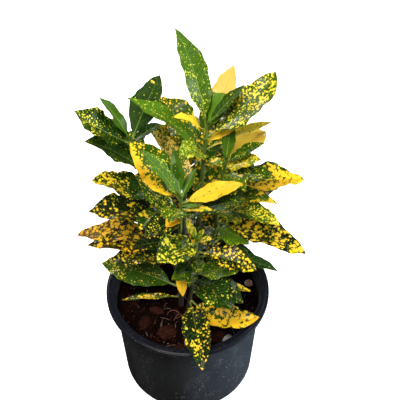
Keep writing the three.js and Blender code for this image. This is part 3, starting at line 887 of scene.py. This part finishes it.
def leafFinish():
    tone = leafTones
    finish = Finish("goldDustLeaf", Specular_IOR_Level=0.15)
    place = finish.attribute("leafPlace")  # across and along in mm, and the leaf's layer
    marks = finish.attribute("leafMarks")
    reach, fleck, ageAndShade = marks.part(0), marks.part(1), marks.part(2)
    form = finish.attribute("leafForm")
    share, under, warm = form.part(0), form.part(1), form.part(2)
    wear = finish.attribute("leafWear")
    dry, dull = wear.part(0), wear.part(1)

    # flecks: cells whose middles are gold, more and wider as the reach grows
    cell = place.scaled(1 / fleck)
    wobble = cell.cloud(1.6, 3, "Color").moved((-0.5, -0.5, -0.5)).stretched((0.9, 0.9, 0))
    spot = cell.moved(wobble)
    big = spot.cells(1)
    uneven = (cell.cloud(0.33, 2) - 0.5) * 0.8
    wide = reach + uneven * (reach * 3).atMost(1)
    patches = ((wide - big) / 0.09).clamped()
    small = spot.moved((5.2, 1.3, 9.1)).cells(2.3)
    dots = ((wide * 0.68 - small) / 0.14).clamped() * 0.9
    gold = patches.atLeast(dots)

    # ribs
    acrossMm = place.part(0).size()
    ribHalf = (1 - share) * 0.75 + 0.12
    rib = ((ribHalf - acrossMm) / 0.35 + 0.5).clamped()
    along = place.part(1) - acrossMm * 0.8 + (cell.cloud(0.6, 1) - 0.5) * 2
    veinLine = along / leafForm["veinGap"]
    vein = ((0.055 - (veinLine.fraction() - 0.5).size()) * 22).clamped() * (1 - rib)

    # greens, darker with age and with painted shade, near black for leaves deep in the crown, and
    # browner where an old leaf is warm
    shadeNoise = place.scaled(0.16).cloud(1, 4)
    ageAndShadeVaried = ageAndShade + (shadeNoise - 0.5) * 0.3
    green = finish.mix(tone["young"], tone["old"], (ageAndShadeVaried * 1.25).clamped())
    # painted shade: the leaves set deepest in the crown go near black
    green = green.towards(tone["black"], (ageAndShadeVaried * 5 - 4).clamped())
    pale = (warm - 1).clamped()
    notPale = (1 - pale * 30).clamped()
    green = green.towards(tone["burnt"], ((warm * ageAndShade - 0.8) * 6).clamped() * notPale)
    mottle = ((place.scaled(0.8).cloud(1, 3) - 0.5) * 2.2).clamped()
    green = green.towards(tone["lime"], mottle * 0.10 * (1 - ageAndShade))
    green = green.towards(tone["rib"], vein * (0.22 - ageAndShade * 0.12))

    # yellows, paler at the rim of a fleck and deeper in its middle
    golden = (warm + (shadeNoise - 0.5) * 0.7).clamped() * notPale
    yellow = finish.mix(tone["lemon"], tone["amber"], golden).towards(tone["peach"], pale)
    yellow = yellow.towards(tone["fresh"], (0 - warm).clamped())
    edge = (gold * 2.2).clamped()
    heart = (gold * 2.2 - 1.1).clamped()
    colour = green.towards(tone["lime"], edge * 0.8).towards(yellow, heart)
    colour = colour.towards(tone["rib"], rib * (0.6 - ageAndShade * 0.35))
    colour = colour.towards(tone["under"], under * 0.45)
    stalk = ((0.15 - share) * 18).clamped()
    colour = colour.towards(tone["stalk"], stalk * 0.75)

    # dried spots, and the very tip
    dried = (dry * 1.4 + (shadeNoise - 0.5) * 1.6 * (dry * 4).atMost(1)).clamped()
    scorched = (((share - 0.975) * 40).clamped() * 0.8).atLeast(dried)
    finish.into("Base Color", colour.towards(tone["dry"], scorched))

    film = place.scaled(0.5).cloud(1, 5)
    rough = 0.14 + film * 0.28 + under * 0.3 + scorched * 0.3 + dull * 0.45
    finish.into("Roughness", rough.clamped())
    pucker = (1 - vein) * 0.5 + place.scaled(0.45).cloud(1, 2) * 0.7 + (1 - rib) * 0.5
    finish.bump(pucker + place.scaled(3).cloud(1, 2) * 0.08, 0.45, 0.0009)
    return finish


wood = {
    "sides": 14, "rings": 70, "sunk": 20,
    "knot": 0.35, "knotReach": 0.012,  # the swelling where a leaf joins
    "roughness": 0.06,
    "barkScale": 260, "poreScale": 480,
    "young": [(0.050, 0.115, 0.008, 1), (0.12, 0.18, 0.028, 1)],
    # lower down: older bark, made darker still as painted shade under the leaves
    "old": [(0.018, 0.013, 0.007, 1), (0.055, 0.040, 0.022, 1)],
    "pore": (0.22, 0.19, 0.13, 1),
}


def stemFinish():
    finish = Finish("greenWood", Specular_IOR_Level=0.35)
    place = finish.place()
    share = finish.attribute("leafForm").part(0)
    bark = place.stretched((1, 1, 0.25)).cloud(wood["barkScale"], 5)
    young = finish.mix(*wood["young"], bark)
    old = finish.mix(*wood["old"], bark)
    # brown and darker towards the foot: partly older bark, partly painted shade under the leaves
    colour = old.towards(young, ((share - 0.35) * 2 + (bark - 0.5) * 0.6).clamped())
    pores = ((0.22 - place.stretched((1, 1, 0.6)).cells(wood["poreScale"])) * 8).clamped()
    finish.into("Base Color", colour.towards(wood["pore"], pores * 0.3))
    finish.into("Roughness", 0.5 + bark * 0.3)
    finish.bump(bark + pores * 0.6, 0.7, 0.0006)
    return finish


# how far a fleck must reach, in cells, to cover this share of the leaf
def fleckReach(cover):
    return (-math.log(1 - cover) * 3 / (4 * math.pi)) ** (1 / 3)


def bladeHalf(share, width):
    along = np.clip((share - leafForm["stalkShare"]) / (1 - leafForm["stalkShare"]), 0, 1)
    base, tip = leafForm["basePower"], leafForm["tipPower"]
    widest = base / (base + tip)
    peak = widest ** base * (1 - widest) ** tip
    blade = width / 2 * along ** base * (1 - along) ** tip / peak
    tapering = share > leafForm["tipShare"]
    least = np.where(tapering, leafForm["tipHalfWidth"], leafForm["stalkRadius"])
    return np.maximum(blade, least), along


def pathPoint(path, share):
    foot, handle, tip = (Vector(point) for point in path)
    return (1 - share) ** 2 * foot + 2 * share * (1 - share) * handle + share ** 2 * tip


# upper and lower grids of a leaf's points in millimetres, and its flat coordinates
def leafGrid(leaf, path, number):
    at, heading, rise, length, width, droop, sweep, roll = leaf[:8]
    steps, finer = leafForm["steps"], leafForm["finer"]
    rows = steps * finer
    share = np.linspace(0, 1, rows + 1)

    # the midrib bends a little at each step, as the solid's does
    middle = (np.arange(rows) // finer + 0.5) / steps
    midTurn, midLift = np.radians(heading + sweep * middle), np.radians(rise - droop * middle)
    level = np.cos(midLift)
    stride = np.stack([level * np.cos(midTurn), level * np.sin(midTurn), np.sin(midLift)], 1)
    start = np.array(pathPoint(path, at))
    centre = np.vstack([start, start + np.cumsum(stride * length / rows, 0)])
    turn, lift = np.radians(heading + sweep * share), np.radians(rise - droop * share)
    east, north, above = np.cos(turn), np.sin(turn), np.sin(lift)
    flatSide = np.stack([-north, east, 0 * turn], 1)
    upright = np.stack([-above * east, -above * north, np.cos(lift)], 1)
    tilt = math.radians(roll)
    side = (flatSide * math.cos(tilt) + upright * math.sin(tilt))[:, None, :]
    up = (upright * math.cos(tilt) - flatSide * math.sin(tilt))[:, None, :]

    # the blade: folded up along the midrib, with waves, ripples and an uneven outline
    half, along = bladeHalf(share, width)
    across, half, along = np.array(leafForm["columns"]), half[:, None], along[:, None]
    fold, circle = math.radians(leafForm["fold"]), 2 * math.pi
    blade = np.clip((half - leafForm["stalkRadius"]) / leafForm["stalkBlend"], 0, 1)
    wave = leafForm["waveShare"] * width * np.minimum(1, half / leafForm["fullWaveHalfWidth"])
    phase = circle * leafForm["waveCount"] * along + leafForm["phaseStep"] * number
    phase = phase + leafForm["waveLag"] * (across > 0)
    frillPhase = circle * leafForm["frillCount"] * along + 3.1 * number + 2 * across
    frill = leafForm["frill"] * width * np.sin(frillPhase) * blade
    scallopPhase = circle * leafForm["scallopCount"] * along + 1.7 * number + 1.1 * np.sign(across)
    uneven = leafForm["scallop"] * np.sin(scallopPhase) * blade
    lateral = across * half * math.cos(fold) * (1 + uneven * across ** 2)
    raised = np.abs(across) * half * math.sin(fold)
    raised = raised + across ** 2 * wave * np.sin(phase) + across ** 4 * frill
    sheet = centre[:, None, :] + lateral[..., None] * side + raised[..., None] * up

    # thin blade, thicker along the midrib, and a round stalk
    edgeThick, ribThick = leafForm["edgeThickness"], leafForm["ribThickness"]
    ridge = np.exp(-(across * half / leafForm["ribReach"]) ** 2)
    stalk = 2 * leafForm["stalkRadius"] * np.sqrt(np.clip(1 - across ** 2, 0.04, 1))
    thin = edgeThick + (ribThick - edgeThick) * ridge
    narrow = np.where(share[:, None] > leafForm["tipShare"], thin * 0.6, stalk * 0.85)
    thick = blade * thin + (1 - blade) * narrow
    groove = leafForm["groove"] * ridge * blade
    top = sheet + (thick / 2 - groove)[..., None] * up
    bottom = sheet - (thick / 2)[..., None] * up
    alongMm = np.broadcast_to((share * length)[:, None], lateral.shape)
    return top, bottom, np.stack([across * half, alongMm], -1), share, across


# both faces of a leaf and the thin edge between them
def gridFaces(rows, columns, first):
    def top(row, column):
        return first + row * columns + column

    def low(row, column):
        return top(row, column) + rows * columns

    faces = []
    final, end = columns - 1, rows - 1
    for row in range(end):
        after = row + 1
        for left in range(final):
            right = left + 1
            faces.append((top(row, left), top(after, left), top(after, right), top(row, right)))
            faces.append((low(row, left), low(row, right), low(after, right), low(after, left)))
        faces.append((low(row, 0), low(after, 0), top(after, 0), top(row, 0)))
        faces.append((top(row, final), top(after, final), low(after, final), low(row, final)))
    for left in range(final):
        right = left + 1
        faces.append((top(0, left), top(0, right), low(0, right), low(0, left)))
        faces.append((low(end, left), low(end, right), top(end, right), top(end, left)))
    return faces


# how far flecks reach over a leaf
def leafReach(gold, margin, tip, lean, share, across):
    if gold == 0:
        return np.full((len(share), len(across)), -1.0)
    reach = fleckReach(gold / 100 if gold > 90 else gold * leafForm["goldShare"] / 100)
    outward = margin / 100 * (across[None, :] ** 2 - 0.4) * 0.5
    onward = tip / 100 * (share[:, None] - 0.55) * 0.6
    reach = reach + outward + onward + lean / 100 * across[None, :] * 0.4
    return np.clip(reach, 0 if gold > 2 else -0.2, 1.6)


def makeStem(name, stem, order, finishes):
    points, slots = [], []
    data = {"leafPlace": [], "leafMarks": [], "leafForm": [], "leafWear": []}

    # the wood: rings up the path, swollen a little where a leaf joins, from a foot in the mix
    sides, rings = wood["sides"], wood["rings"]
    footRadius, tipRadius = stem["radii"]
    foot = Vector(stem["path"][0]) - Vector((0, 0, wood["sunk"]))
    shares = [-1] + [ring / (rings - 1) for ring in range(rings)]
    for share in shares:
        centre = foot if share < 0 else pathPoint(stem["path"], share)
        radius = footRadius + (tipRadius - footRadius) * max(0, share)
        if share >= 0:
            away = [(share - leaf[0]) / wood["knotReach"] for leaf in stem["leaves"]]
            radius += wood["knot"] * min(1.2, sum(math.exp(-step ** 2) for step in away))
        for side in range(sides):
            angle = 2 * math.pi * side / sides
            east, north = math.cos(angle), math.sin(angle)
            bump = noise.noise(Vector((east * 2, north * 2, share * 40 + order)))
            reach = radius * (1 + wood["roughness"] * bump)
            points.append((centre.x + reach * east, centre.y + reach * north, centre.z))
            data["leafPlace"].append((side, share * 100, 0))
            data["leafMarks"].append((0, 4, 0))
            data["leafForm"].append((max(0, share), 0, 0))
            data["leafWear"].append((0, 0, 0))
    faces = skinFaces(len(shares), sides, True, True)
    slots += [1] * len(faces)

    for number, leaf in enumerate(stem["leaves"] + buds + newLeaves.get(name, [])):
        marks = leaf[8:] + [0] * (leafForm["rowLength"] - len(leaf))
        gold, fleck, ageAndShade, warm, margin, tip, dry, dull, lean = marks
        top, bottom, flatPlace, share, across = leafGrid(leaf, stem["path"], number)
        rows, columns = top.shape[:2]
        added = gridFaces(rows, columns, len(points))
        faces += added
        slots += [0] * len(added)
        layer = order * 90 + number * 4.3
        reach = leafReach(gold, margin, tip, lean, share, across)
        for grid, under in ((top, 0), (bottom, 1)):
            points += [tuple(point) for point in grid.reshape(-1, 3)]
            for row in range(rows):
                dried = dry / 100 * max(0, (share[row] - 0.55) / 0.45)
                for column in range(columns):
                    data["leafPlace"].append((*flatPlace[row, column], layer))
                    data["leafMarks"].append((reach[row, column], fleck, ageAndShade / 100))
                    data["leafForm"].append((share[row], under, warm / 100))
                    data["leafWear"].append((dried, dull / 100, 0))
    piece = newPiece(name + "_foliage", np.array(points) * mm, faces, finishes, [name],
                     slots=slots, smoothAngle=55)
    for key, values in data.items():
        addVectors(piece, key, values)
    print(name, len(stem["leaves"]), "leaves,", len(faces), "faces")


stemFinishes = [leafFinish(), stemFinish()]
for order, (name, stem) in enumerate(stems.items()):
    makeStem(name, stem, order, stemFinishes)
